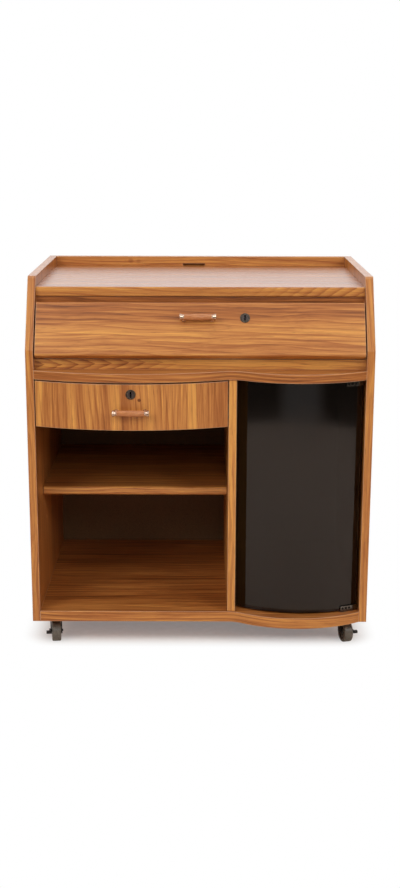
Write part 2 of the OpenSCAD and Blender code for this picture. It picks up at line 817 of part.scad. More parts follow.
module flap_lock_case() {
    color(bronze) in_frame() on_flap_lock() lock_case(flap_t, flap_lock_up);
}

module flap_lock_plug() {
    color(bronze) in_frame() on_flap_lock() lock_plug(flap_t);
}

module flap_lock_bolt() {
    color(zinc) in_frame() on_flap_lock() lock_bolt(flap_t, flap_lock_up);
}

// Bent front of the drawer
module drawer_front() {
    color(teak) in_frame() difference() {
        intersection() {
            translate([left_circle[0], left_circle[1], drawer_z]) difference() {
                cylinder(h = drawer_h, r = drawer_r, $fn = 360);
                translate([0, 0, -cut]) cylinder(h = drawer_h + 2 * cut, r = drawer_in_r, $fn = 360);
            }
            block([drawer_x - drawer_half, drawer_face_y - cut, drawer_z - cut],
                  [drawer_x + drawer_half, left_circle[1], drawer_top + cut]);
        }
        on_drawer() lock_bore(drawer_lock_t);
        on_drawer_pull() pull_holes(drawer_screw_t);
    }
}

module drawer_box_front() {
    color(teak_dark) in_frame() difference() {
        block([drawer_x - box_half, box_y, box_z], [drawer_x + box_half, box_y + box_t, box_z + box_h]);
        drawer_bottom_groove();
    }
}

// Groove that holds the drawer's bottom
module drawer_bottom_groove() {
    in = box_t - groove - seat;
    block([drawer_x - box_half + in, box_y + in, drawer_bottom_z - seat],
          [drawer_x + box_half - in, box_y + box_d - in, drawer_bottom_z + drawer_bottom_t + seat]);
}

module drawer_side(side) {
    x0 = side < 0 ? drawer_x - box_half : drawer_x + box_half - box_t;
    difference() {
        block([x0, box_y + box_t + seat, box_z], [x0 + box_t, box_y + box_d, box_z + box_h]);
        drawer_bottom_groove();
    }
}

module drawer_side_left() {
    color(teak_dark) in_frame() drawer_side(-1);
}

module drawer_side_right() {
    color(teak_dark) in_frame() drawer_side(1);
}

module drawer_back() {
    color(teak_dark) in_frame() difference() {
        block([drawer_x - box_half + box_t + seat, box_y + box_d - box_t, box_z],
              [drawer_x + box_half - box_t - seat, box_y + box_d, box_z + box_h - 10]);
        drawer_bottom_groove();
    }
}

module drawer_bottom() {
    color(hardboard) in_frame()
        block([drawer_x - box_half + box_t - groove, box_y + box_t - groove, drawer_bottom_z],
              [drawer_x + box_half - box_t + groove, box_y + box_d - box_t + groove,
               drawer_bottom_z + drawer_bottom_t]);
}

module drawer_pull_frame() {
    color(zinc) in_frame() difference() {
        on_drawer_pull() pull_frame(2);
        translate([left_circle[0], left_circle[1], drawer_z])
            cylinder(h = drawer_h, r = drawer_r + seat, $fn = 360);
    }
}

module drawer_pull_grip() {
    color(teak_dark) in_frame() on_drawer_pull() pull_grip();
}

module drawer_pull_screws() {
    color(zinc) in_frame() on_drawer_pull() pull_screws(drawer_screw_t);
}

module drawer_lock_case() {
    color(bronze) in_frame() on_drawer() lock_case(drawer_lock_t, drawer_lock_up);
}

module drawer_lock_plug() {
    color(bronze) in_frame() on_drawer() lock_plug(drawer_lock_t);
}

module drawer_lock_bolt() {
    color(zinc) in_frame() on_drawer() lock_bolt(drawer_lock_t, drawer_lock_up);
}

// Runner frame: x from the bay's wall towards the drawer, on either side
module at_wall(side) {
    translate([side < 0 ? -in_x : bay_x, 0, 0]) mirror([side < 0 ? 0 : 1, 0, 0]) children();
}

runner_y0 = box_y + box_t;
runner_y1 = box_y + box_d;
rear_roller_y = runner_y1 - rear_roller_in;

module cabinet_runners() {
    color(zinc) in_frame() for (side = [-1, 1]) at_wall(side) {
        block([seat, runner_y0, runner_z], [runner_sheet, runner_y1 + 8, rail_top]);
        block([seat, runner_y0, runner_z], [8.5, runner_y1 + 8, runner_z + runner_sheet]);
        block([seat, runner_y0 + 40, rail_top - runner_sheet], [8.5, runner_y1 + 8, rail_top]);
        translate([seat, front_roller_y, roller_z]) rotate([0, 90, 0])
            cylinder(h = 9.5, r = roller_pin_r, $fn = 32);
    }
}

module drawer_runners() {
    x1 = runner_gap - seat;
    x0 = x1 - runner_sheet;
    z0 = box_z - runner_sheet - seat;
    color(zinc) in_frame() for (side = [-1, 1]) at_wall(side) {
        block([x0, runner_y0, z0], [x1, runner_y1, skate_z + runner_sheet]);
        block([x0, runner_y0, z0], [x1 + 11, runner_y1, box_z - seat]);
        block([2.5, runner_y0, skate_z], [x1, runner_y1, skate_z + runner_sheet]);
        translate([2.2, rear_roller_y, roller_z]) rotate([0, 90, 0])
            cylinder(h = x1 - 2.2 - 0.2, r = roller_pin_r, $fn = 32);
    }
}

module roller_wheel(r) {
    rotate([0, 90, 0]) rotate_extrude() translate([roller_pin_r + turn, 0]) polygon([
        [0, 0], [r - roller_pin_r - turn - 0.8, 0], [r - roller_pin_r - turn, 0.8],
        [r - roller_pin_r - turn, 5.2], [r - roller_pin_r - turn - 0.8, 6], [0, 6]]);
}

module cabinet_rollers() {
    color(rubber_black) in_frame() for (side = [-1, 1]) at_wall(side)
        translate([2.6, front_roller_y, roller_z]) roller_wheel(roller_r);
}

module drawer_rollers() {
    color(rubber_black) in_frame() for (side = [-1, 1]) at_wall(side)
        translate([2.6, rear_roller_y, roller_z]) roller_wheel(roller_r);
}

// Curved wall between two radii about the glass's centre, from angle a0 to a1
module glass_wall(r0, r1, a0, a1, z0, z1) {
    translate([glass_cx, glass_cy, z0]) rotate([0, 0, a0])
        rotate_extrude(angle = a1 - a0, $fn = 360) translate([r0, 0]) square([r1 - r0, z1 - z0]);
}

module glass_panel() {
    color(smoked, 0.8) in_frame()
        glass_wall(glass_r - glass_t, glass_r, -90 + glass_tilt - glass_half, glass_end, glass_z0, glass_z1);
}

// Clamp on a corner of the glass, with its pivot pin. top is 1 above, -1 below.
screws_at = [5, 13.5, 22];
module hinge_clamp(top) {
    grip = (clamp_t - glass_t) / 2;
    z0 = top > 0 ? waist_under - clamp_air - clamp_h : floor_z + clamp_air;
    difference() {
        union() {
            glass_wall(glass_r - glass_t - grip, glass_r + grip, clamp_end - arc_deg(clamp_l), clamp_end,
                z0, z0 + clamp_h);
            translate([pivot_x, pivot_y, top > 0 ? z0 + clamp_h - cut : z0 - clamp_air - bush_depth + 2])
                cylinder(h = bush_depth - 2 + clamp_air + cut, r = pivot_r);
        }
        glass_wall(glass_r - glass_t - seat, glass_r + seat,
            clamp_end - arc_deg(clamp_l) - 1, glass_end + 0.05,
            top > 0 ? z0 - cut : glass_z0 - seat, top > 0 ? glass_z1 + seat : z0 + clamp_h + cut);
        for (s = screws_at) clamp_screw_at(top, s) cylinder(h = grip + 2 * cut, r = 2.5 + turn, $fn = 32);
    }
}

// Set screw frame: z runs outwards, square to the glass's outer face
module clamp_screw_at(top, s) {
    z = top > 0 ? waist_under - clamp_air - clamp_h + 5 : floor_z + clamp_air + clamp_h - 5;
    a = clamp_end - arc_deg(clamp_l - s);
    translate([glass_cx, glass_cy, z]) rotate([0, 0, a]) translate([glass_r + seat, 0, 0])
        rotate([0, 90, 0]) children();
}

module hinge_clamp_top() {
    color(bronze) in_frame() hinge_clamp(1);
}

module hinge_clamp_bottom() {
    color(bronze) in_frame() hinge_clamp(-1);
}

module clamp_screws() {
    color(steel) in_frame() for (top = [-1, 1], s = screws_at) clamp_screw_at(top, s) difference() {
        cylinder(h = (clamp_t - glass_t) / 2 + 0.4, r = 2.5, $fn = 32);
        translate([0, 0, 2]) cylinder(h = 3, r = 1.4, $fn = 6);
    }
}

// Plastic bushes that take the pivot pins
module pivot_bushes() {
    color(rubber_black) in_frame() for (top = [-1, 1])
        translate([pivot_x, pivot_y, top > 0 ? waist_under : floor_z])
        mirror([0, 0, top > 0 ? 0 : 1]) difference() {
            union() {
                cylinder(h = bush_depth, r = bush_r);
                translate([0, 0, -bush_flange_t]) cylinder(h = bush_flange_t, r = bush_flange_r);
            }
            translate([0, 0, -cut]) cylinder(h = bush_depth - 1.5 + cut, r = pivot_r + turn);
        }
}

// Latch frame: x points outwards, square to the glass, from its inner face
module at_latch() {
    translate([glass_cx, glass_cy, waist_under]) rotate([0, 0, latch_a])
        translate([glass_r - glass_t, 0, 0]) children();
}

module latch_housing() {
    color(rubber_black) in_frame() at_latch() difference() {
        translate([-strike_t - plunger_out - latch_l - 1, -latch_w / 2, -latch_h])
            cube([latch_l, latch_w, latch_h - seat]);
        translate([-strike_t - plunger_out - latch_l + 4, 0, -latch_h / 2]) rotate([0, 90, 0])
            cylinder(h = latch_l, r = plunger_r + turn);
    }
}

module latch_plunger() {
    color(zinc) in_frame() at_latch() translate([-strike_t - run, 0, -latch_h / 2]) rotate([0, -90, 0]) {
        cylinder(h = plunger_out + 38, r = plunger_r);
        cylinder(h = 3, r = plunger_r + 1.2);
    }
}

module strike_plate() {
    color(zinc) in_frame() glass_wall(glass_r - glass_t - strike_t, glass_r - glass_t - seat,
        latch_a - arc_deg(9), latch_a + arc_deg(9), waist_under - latch_h - 2, glass_z1 - 1);
}

// Casters
module at_caster(x, y) {
    translate([x, y, base_z]) children();
}

plate_screw_at = 15;
plate_screw_l = 14;
module caster_screw_holes() {
    for (x = [-caster_x, caster_x], y = [caster_y0, caster_y1]) at_caster(x, y)
        for (i = [-1, 1], j = [-1, 1]) translate([i * plate_screw_at, j * plate_screw_at, -cut])
            cylinder(h = plate_screw_l + cut, r = 2 + turn, $fn = 24);
}

// Top plates with their screws' heads and the rivets of the swivels
module caster_plates() {
    color(steel) in_frame() for (x = [-caster_x, caster_x], y = [caster_y0, caster_y1]) at_caster(x, y) {
        difference() {
            translate([0, 0, -plate_t]) rounded_plate(plate_half, plate_t - seat, 5);
            for (i = [-1, 1], j = [-1, 1]) translate([i * plate_screw_at, j * plate_screw_at, -plate_t - cut])
                cylinder(h = plate_t + 2 * cut, r = 2.5, $fn = 24);
        }
        translate([0, 0, -plate_t - 8.6]) {
            cylinder(h = 8.6 + 0.2, r = 4);
            cylinder(h = 2, r = 6.5);
        }
        for (i = [-1, 1], j = [-1, 1]) translate([i * plate_screw_at, j * plate_screw_at, -plate_t]) {
            translate([0, 0, -1.8 - seat]) cylinder(h = 1.8, r = 4, $fn = 24);
            translate([0, 0, -1]) cylinder(h = plate_screw_l - 1 + plate_t, r = 2, $fn = 24);
        }
    }
}

module rounded_plate(half, t, r) {
    linear_extrude(t) {
        square([2 * half, 2 * (half - r)], center = true);
        square([2 * (half - r), 2 * half], center = true);
        for (i = [-1, 1], j = [-1, 1]) translate([i * (half - r), j * (half - r)]) circle(r);
    }
}

// Swivelling fork, seen from its swivel axis: the axle lies at -Y by the trail
leg_x = wheel_w / 2 + fork_gap;
axle_drop = caster_h - wheel_r;
crown_z = -plate_t - 9;
module caster_fork() {
    difference() {
        union() {
            translate([0, 0, crown_z]) rotate_extrude() polygon([
                [0, 0], [leg_x + fork_t, 0], [leg_x + fork_t + 2.2, 3.5], [leg_x + fork_t + 2.2, 6.2],
                [leg_x + fork_t, 8.4], [0, 8.4]]);
            for (side = [-1, 1]) translate([side * (leg_x + fork_t / 2) - fork_t / 2, 0, 0])
                rotate([90, 0, 90]) linear_extrude(fork_t) {
                    polygon([[-9, crown_z + 4], [9, crown_z + 4], [9, crown_z - 3],
                        [-trail + 8, -axle_drop - 2], [-trail - 8, -axle_drop - 2],
                        [-trail - 7, -axle_drop + 6]]);
                    translate([-trail, -axle_drop]) circle(8);
                }
            translate([-leg_x - fork_t - 2, -trail, -axle_drop]) rotate([0, 90, 0])
                cylinder(h = 2 * (leg_x + fork_t + 2), r = axle_r, $fn = 32);
        }
        translate([0, 0, crown_z - cut]) cylinder(h = 12 + cut, r = 4 + turn);
        translate([0, 0, crown_z - cut]) cylinder(h = 3 + cut, r = 6.5 + run);
    }
}

// Wheel with a rounded tread and dished faces, bored for its axle
module caster_wheel() {
    w = wheel_w / 2;
    translate([0, -trail, -axle_drop]) rotate([0, 90, 0]) rotate_extrude() difference() {
        union() {
            translate([axle_r + turn, -w]) square([6, 2 * w]);
            translate([axle_r + turn, -w + 3]) square([wheel_r - axle_r - turn - 6, 2 * w - 6]);
            translate([wheel_r - 8, -w]) square([6, 2 * w]);
            translate([wheel_r - 8, -w + 3]) square([8, 2 * w - 6]);
            for (z = [-w + 3, w - 3]) translate([wheel_r - 3, z]) circle(3, $fn = 32);
        }
    }
}

module caster_fork_at(x, y, turned) {
    color(rubber_black) in_frame() at_caster(x, y) rotate([0, 0, turned]) caster_fork();
}

module caster_wheel_at(x, y, turned) {
    color(tread_grey) in_frame() at_caster(x, y) rotate([0, 0, turned]) caster_wheel();
}

module caster_fork_front_left() {
    caster_fork_at(-caster_x, caster_y0, turn_left);
}

module caster_fork_front_right() {
    caster_fork_at(caster_x, caster_y0, turn_right);
}

module caster_fork_rear_left() {
    caster_fork_at(-caster_x, caster_y1, 0);
}

module caster_fork_rear_right() {
    caster_fork_at(caster_x, caster_y1, 0);
}

module caster_wheel_front_left() {
    caster_wheel_at(-caster_x, caster_y0, turn_left);
}

module caster_wheel_front_right() {
    caster_wheel_at(caster_x, caster_y0, turn_right);
}

module caster_wheel_rear_left() {
    caster_wheel_at(-caster_x, caster_y1, 0);
}

module caster_wheel_rear_right() {
    caster_wheel_at(caster_x, caster_y1, 0);
}

// Brake lever on the outer end of a front axle: a hub, an arm and a pedal
module brake_lever(side) {
    x = leg_x + fork_t + 0.3;
    translate([side * x, -trail, -axle_drop]) mirror([side < 0 ? 1 : 0, 0, 0]) difference() {
        union() {
            rotate([0, 90, 0]) cylinder(h = 3, r = 5);
            translate([0, -14, -1]) cube([3, 14, 6]);
            translate([0, -18, -1]) cube([10, 7, 6]);
        }
        translate([-cut, 0, 0]) rotate([0, 90, 0]) cylinder(h = 6, r = axle_r + turn, $fn = 32);
    }
}

module brake_lever_left() {
    color(rubber_black) in_frame() at_caster(-caster_x, caster_y0) rotate([0, 0, turn_left]) brake_lever(-1);
}

module brake_lever_right() {
    color(rubber_black) in_frame() at_caster(caster_x, caster_y0) rotate([0, 0, turn_right]) brake_lever(1);
}

side_panel_left();
side_panel_right();
top_board();
gallery_rail();
top_rail();
sill_rail();
waist_board();
divider();
bottom_board();
back_panel();
cam_fasteners();
back_screws();
shelf();
shelf_pins();
flap_panel();
flap_hinge_leaf();
sill_hinge_leaf();
flap_hinge_pin();
flap_bumpers();
flap_pull_frame();
flap_pull_grip();
flap_pull_screws();
flap_lock_case();
flap_lock_plug();
flap_lock_bolt();
drawer_front();
drawer_box_front();
drawer_side_left();
drawer_side_right();
drawer_back();
drawer_bottom();
drawer_pull_frame();
drawer_pull_grip();
drawer_pull_screws();
drawer_lock_case();
drawer_lock_plug();
drawer_lock_bolt();
cabinet_runners();
drawer_runners();
cabinet_rollers();
drawer_rollers();
glass_panel();
hinge_clamp_top();
hinge_clamp_bottom();
clamp_screws();
pivot_bushes();
latch_housing();
latch_plunger();
strike_plate();
caster_plates();
caster_fork_front_left();
caster_fork_front_right();
caster_fork_rear_left();
caster_fork_rear_right();
caster_wheel_front_left();
caster_wheel_front_right();
caster_wheel_rear_left();
caster_wheel_rear_right();
brake_lever_left();
brake_lever_right();
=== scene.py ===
# %% [markdown]
# # A wheeled television cabinet in teak-look laminate
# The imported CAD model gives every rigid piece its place. This notebook sets up the camera, gives
# each piece the finish of its real material, and lights it like a product on white paper.

# %% Load the frame
import json
import math

import bpy
from mathutils import Euler, Matrix, Vector


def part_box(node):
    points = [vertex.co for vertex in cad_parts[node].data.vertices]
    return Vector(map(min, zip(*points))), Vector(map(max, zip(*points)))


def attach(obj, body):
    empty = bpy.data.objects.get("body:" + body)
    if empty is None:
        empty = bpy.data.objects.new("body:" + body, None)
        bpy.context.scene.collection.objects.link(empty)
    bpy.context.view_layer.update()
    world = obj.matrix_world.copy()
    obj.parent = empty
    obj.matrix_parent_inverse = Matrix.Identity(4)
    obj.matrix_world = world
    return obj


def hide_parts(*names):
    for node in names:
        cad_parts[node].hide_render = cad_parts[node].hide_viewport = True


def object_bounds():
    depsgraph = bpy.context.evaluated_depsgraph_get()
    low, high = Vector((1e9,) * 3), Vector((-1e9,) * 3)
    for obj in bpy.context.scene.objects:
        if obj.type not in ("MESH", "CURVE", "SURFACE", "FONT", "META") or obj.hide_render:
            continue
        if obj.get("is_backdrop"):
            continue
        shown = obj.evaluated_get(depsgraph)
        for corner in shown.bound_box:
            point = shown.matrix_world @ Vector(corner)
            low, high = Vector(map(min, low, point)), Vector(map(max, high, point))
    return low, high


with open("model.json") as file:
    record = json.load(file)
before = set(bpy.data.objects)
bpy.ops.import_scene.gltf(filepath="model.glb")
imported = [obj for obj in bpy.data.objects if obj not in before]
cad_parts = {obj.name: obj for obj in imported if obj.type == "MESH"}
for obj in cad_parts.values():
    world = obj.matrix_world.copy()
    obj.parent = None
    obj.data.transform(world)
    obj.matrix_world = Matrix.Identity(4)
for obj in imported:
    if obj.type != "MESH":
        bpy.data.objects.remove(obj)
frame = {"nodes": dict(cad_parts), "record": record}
nodes = frame["nodes"]
low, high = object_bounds()
print("pieces:", len(nodes), "size:", [round(h - l, 4) for l, h in zip(low, high)])

# %% [markdown]
# ## Camera
# The photograph was taken from in front of the middle, 1.21 m above the floor, tilted 13.95
# degrees down and leaning sideways by 0.15 degrees. Its focal length of 1305 pixels, in a picture
# 888 pixels tall, comes to 52.9 mm on film whose long side is 36 mm.

# %% Camera
picture_height = 888
focal_pixels = 1305
film_long_side = 36
camera_place = (0, -3.10465, 1.2057)
camera_tilt = math.radians(13.95)
camera_roll = math.radians(0.15)

scene = bpy.context.scene
camera = bpy.data.objects.new("camera", bpy.data.cameras.new("camera"))
scene.collection.objects.link(camera)
camera.data.sensor_fit = "AUTO"
camera.data.sensor_width = film_long_side
camera.data.lens = focal_pixels / picture_height * film_long_side
tilt = Euler((math.pi / 2 - camera_tilt, 0, 0)).to_matrix()
roll = Euler((0, 0, camera_roll)).to_matrix()
camera.matrix_world = Matrix.Translation(camera_place) @ (tilt @ roll).to_4x4()
scene.camera = camera
scene.view_settings.view_transform = "Standard"
print("lens:", round(camera.data.lens, 2), "mm")

# %% [markdown]
# ## Helpers for materials
# Colours are written as the hex values that a photograph shows, and `linear` turns them into the
# linear values that a renderer works with, by the sRGB standard's own curve. `add_node` adds one
# shader node with its settings. Each input gets a value or is linked to another node's socket, and
# a node given as an input stands for its first output. `sized` turns a pattern's size in
# millimetres into the scale of a mapping, long along the grain and narrow across it.

# %% Helpers for materials
mm_per_m = 1000


def linear(code):
    coded = [int(code[i:i + 2], 16) / 255 for i in (1, 3, 5)]
    plain = [c / 12.92 if c <= 0.04045 else ((c + 0.055) / 1.055) ** 2.4 for c in coded]
    return (*plain, 1.0)


def add_node(tree, kind, inputs=None, stops=(), **settings):
    made = tree.nodes.new(kind)
    for name, value in settings.items():
        setattr(made, name, value)
    for name, value in (inputs or {}).items():
        if isinstance(value, bpy.types.Node):
            value = value.outputs[0]
        if isinstance(value, bpy.types.NodeSocket):
            tree.links.new(value, made.inputs[name])
        else:
            made.inputs[name].default_value = value
    for index, (place, code) in enumerate(stops):
        if index >= len(made.color_ramp.elements):
            made.color_ramp.elements.new(place)
        made.color_ramp.elements[index].position = place
        made.color_ramp.elements[index].color = linear(code)
    return made


def new_material(name):
    made = bpy.data.materials.new(name)
    made.use_nodes = True
    made.node_tree.nodes.clear()
    return made, made.node_tree


def sized(grain, long_mm, wide_mm):
    scale = [mm_per_m / wide_mm] * 3
    scale["xyz".index(grain)] = mm_per_m / long_mm
    return scale


print("teak brown in linear values:", [round(c, 3) for c in linear("#B2703E")[:3]])

# %% [markdown]
# ## Teak-look laminate
# The boards are chipboard faced with a printed melamine film, pressed against a satin plate. The
# print copies sawn teak: slow bands about 40 mm wide, thin dark growth lines that waver along the
# board, streaks about 5 mm wide, and pores. These layers are built on the piece's own coordinates,
# so that a row of boards shares one look but none repeats another's pattern. A picture of wood
# could do it too, but nodes stay sharp at any distance and need no file.
#
# All layers add up to one value, which a ramp turns into a tone from dark to light teak. Each of
# the next cells makes one step of it, and `laminate` puts them together.

# %% Teak tones
teak_tones = (
    (0.06, "#4B240B"), (0.30, "#7E461C"), (0.52, "#A9642E"), (0.72, "#C48141"), (0.94, "#E0A04F"))
pore_brown = "#45200B"
# Tone of the pale corner line: a painted highlight, partly the paler trimmed edge of the film
rim_highlight_tone = "#D2AC8E"
print("teak tones:", len(teak_tones))

# %% [markdown]
# ### Where the print lies
# Film on a front face is printed flat and bent round the bows, so depth doesn't count there. A
# face is a front one when it looks forward within 60 degrees, whose cosine is the limit. It is
# judged in the board's own space, so the print stays put when the board moves. Then a slow
# waviness, 15 mm to either side at most, bends all layers alike.

# %% Where the print lies
front_limit = -0.5
wander_mm, wander_reach = (450, 140), 0.03
noise_mean = (0.5, 0.5, 0.5)


def film_space(tree, grain, shift):
    whole = add_node(tree, "ShaderNodeTexCoord").outputs["Object"]
    faces = add_node(tree, "ShaderNodeNewGeometry")
    own = add_node(
        tree, "ShaderNodeVectorTransform", {"Vector": faces.outputs["True Normal"]},
        vector_type="NORMAL", convert_from="WORLD", convert_to="OBJECT")
    facing = add_node(tree, "ShaderNodeSeparateXYZ", {"Vector": own}).outputs["Y"]
    front = add_node(tree, "ShaderNodeMath", {0: facing, 1: front_limit}, operation="LESS_THAN")
    depth = add_node(tree, "ShaderNodeMath", {0: 1.0, 1: front}, operation="SUBTRACT")
    flatten = add_node(tree, "ShaderNodeCombineXYZ", {"X": 1.0, "Y": depth, "Z": 1.0})
    coords = add_node(tree, "ShaderNodeVectorMath", {0: whole, 1: flatten}, operation="MULTIPLY")

    slow = add_node(tree, "ShaderNodeMapping", {
        "Vector": coords, "Location": shift, "Scale": sized(grain, *wander_mm)})
    wander = add_node(tree, "ShaderNodeTexNoise", {"Vector": slow, "Scale": 1.0, "Detail": 2.0})
    lean = add_node(tree, "ShaderNodeVectorMath", {
        0: wander.outputs["Color"], 1: noise_mean}, operation="SUBTRACT")
    lean = add_node(tree, "ShaderNodeVectorMath", {
        0: lean, "Scale": wander_reach}, operation="SCALE")
    bent = add_node(tree, "ShaderNodeVectorMath", {0: coords, 1: lean}, operation="ADD")
    return coords, bent, front


print("waviness to either side:", wander_reach / 2 * mm_per_m, "mm")

# %% [markdown]
# ### Layers of the print
# Bands, streaks, fibres and pores are the same noise at four widths. Growth lines are a saw-tooth
# wave, raised to a power so that only a thin dark edge stays of each tooth. The wave node repeats
# every tau / 10 units, and here that is one line every `growth_mm` millimetres.

# %% Layers of the print
# Length along the grain and width across it in millimetres, and the detail of the noise. Fibres
# and pores are finer on the real film, and are drawn 2.4 and 1.2 mm wide to show
layer_sizes = ((1100, 42, 3.0), (330, 5.2, 4.0), (75, 2.4, 2.0), (30, 1.2, 2.0))
wave_period = math.tau / 10
growth_long_mm, growth_power = 520, 3.5


def printed_layers(tree, bent, grain, shift):
    layers = []
    for long_mm, wide_mm, detail in layer_sizes:
        space = add_node(tree, "ShaderNodeMapping", {
            "Vector": bent, "Location": shift, "Scale": sized(grain, long_mm, wide_mm)})
        layers.append(add_node(tree, "ShaderNodeTexNoise", {
            "Vector": space, "Scale": 1.0, "Detail": detail, "Roughness": 0.58}).outputs["Fac"])
    return layers


def growth_lines(tree, bent, grain, shift, growth_mm):
    space = add_node(tree, "ShaderNodeMapping", {
        "Vector": bent, "Location": shift,
        "Scale": sized(grain, growth_long_mm, growth_mm / wave_period)})
    wave = add_node(
        tree, "ShaderNodeTexWave",
        {"Vector": space, "Scale": 1.0, "Distortion": 7.0, "Detail": 2.5, "Detail Scale": 0.55,
         "Detail Roughness": 0.6},
        wave_type="BANDS", bands_direction="DIAGONAL", wave_profile="SAW")
    return add_node(tree, "ShaderNodeMath", {
        0: wave.outputs["Fac"], 1: growth_power}, operation="POWER")


print("widths of the layers:", [wide_mm for _, wide_mm, _ in layer_sizes], "mm")

# %% [markdown]
# ### Flames, pointed figures and knots
# Some boards show marks whose place the photograph gives. Each is a short list of numbers, with
# places in metres and strengths as parts of the ramp's length.
#
# - A flame is a broad stripe: its axis, middle, reach to either side, and strength, above zero for
#   a bright one and below for a dark one.
# - A pointed figure is where the film shows the heart of the log. Its numbers are the heart's
#   height, the slope of the lines away from it, their spacing, the x where they are strongest, the
#   x where they are gone, and how dark they are. It shows on the board's front edge only.
# - A knot is a small dark eye: x, z, reach, darkness.

# %% Flames, pointed figures and knots
flame_core, knot_core = 0.35, 0.4
figure_waver = 0.5
figure_power = 2.0


def add_spot(tree, value, away, core, reach, strength):
    spot = add_node(
        tree, "ShaderNodeMapRange",
        {"Value": away, "From Min": reach * core, "From Max": reach, "To Min": strength,
         "To Max": 0.0},
        interpolation_type="SMOOTHSTEP")
    return add_node(tree, "ShaderNodeMath", {0: value, 1: spot}, operation="ADD")


def add_flame(tree, value, bent, axis, middle, reach, strength):
    place = add_node(tree, "ShaderNodeSeparateXYZ", {"Vector": bent}).outputs[axis]
    away = add_node(tree, "ShaderNodeMath", {0: place, 1: middle}, operation="SUBTRACT")
    away = add_node(tree, "ShaderNodeMath", {0: away}, operation="ABSOLUTE")
    return add_spot(tree, value, away, flame_core, reach, strength)


def add_knot(tree, value, coords, x, z, reach, darkness):
    away = add_node(tree, "ShaderNodeVectorMath", {0: coords, 1: (x, 0, z)}, operation="SUBTRACT")
    away = add_node(tree, "ShaderNodeVectorMath", {0: away, 1: (1, 0, 1)}, operation="MULTIPLY")
    away = add_node(tree, "ShaderNodeVectorMath", {0: away}, operation="LENGTH").outputs["Value"]
    return add_spot(tree, value, away, knot_core, reach, -darkness)


def add_figure(tree, value, space, streak, heart, slope, spacing, start, end, darkness):
    coords, bent, front = space
    place = add_node(tree, "ShaderNodeSeparateXYZ", {"Vector": bent})
    rise = add_node(tree, "ShaderNodeMath", {0: place.outputs["Z"], 1: heart}, operation="SUBTRACT")
    rise = add_node(tree, "ShaderNodeMath", {0: rise}, operation="ABSOLUTE")
    along = add_node(tree, "ShaderNodeMath", {
        0: rise, 1: slope, 2: place.outputs["X"]}, operation="MULTIPLY_ADD")
    along = add_node(tree, "ShaderNodeMath", {
        0: streak, 1: spacing * figure_waver, 2: along}, operation="MULTIPLY_ADD")
    along = add_node(tree, "ShaderNodeMath", {0: along, 1: 1 / spacing}, operation="MULTIPLY")
    tooth = add_node(tree, "ShaderNodeMath", {0: along}, operation="FRACT")
    tooth = add_node(tree, "ShaderNodeMath", {0: tooth, 1: figure_power}, operation="POWER")
    tooth = add_node(tree, "ShaderNodeMath", {0: tooth, 1: front}, operation="MULTIPLY")
    across = add_node(tree, "ShaderNodeSeparateXYZ", {"Vector": coords}).outputs["X"]
    fade = add_node(
        tree, "ShaderNodeMapRange",
        {"Value": across, "From Min": start, "From Max": end, "To Min": -darkness, "To Max": 0.0},
        interpolation_type="SMOOTHSTEP")
    return add_node(tree, "ShaderNodeMath", {0: tooth, 1: fade, 2: value}, operation="MULTIPLY_ADD")


# %% [markdown]
# ### The whole film
# `seed` moves a board to its own part of the pattern. `bands`, `streaks` and `growth` are the
# layers' strengths, and `lift` makes the whole board brighter. Noise averages a half, so half of
# each strength is taken off again, and a stronger layer doesn't brighten the board. The band on
# the front edge comes off another roll, and `edge_lift` makes it lighter than the faces.
#
# Trimmed corners are soft to the light, and within 2.4 mm of each corner a paler line is painted.
# It is a painted highlight where the rounded corner catches the light, and partly the paler edge of
# the trimmed film. The film has a satin gloss, and its bright streaks are a little glossier than
# the dark ones.

# %% The whole film
seed_steps = (3.1, 1.7, 2.3)
middle_tone, fibre_weight = 0.66, 0.4
pore_limits, pore_strength = (0.6, 0.78), 0.5
corner_reach, rim_highlight_limits, rim_highlight_strength = 0.0024, (0.995, 0.86), 0.8
streak_shine, film_bump, bump_height = 0.12, 0.1, 0.0002
melamine_ior = 1.5


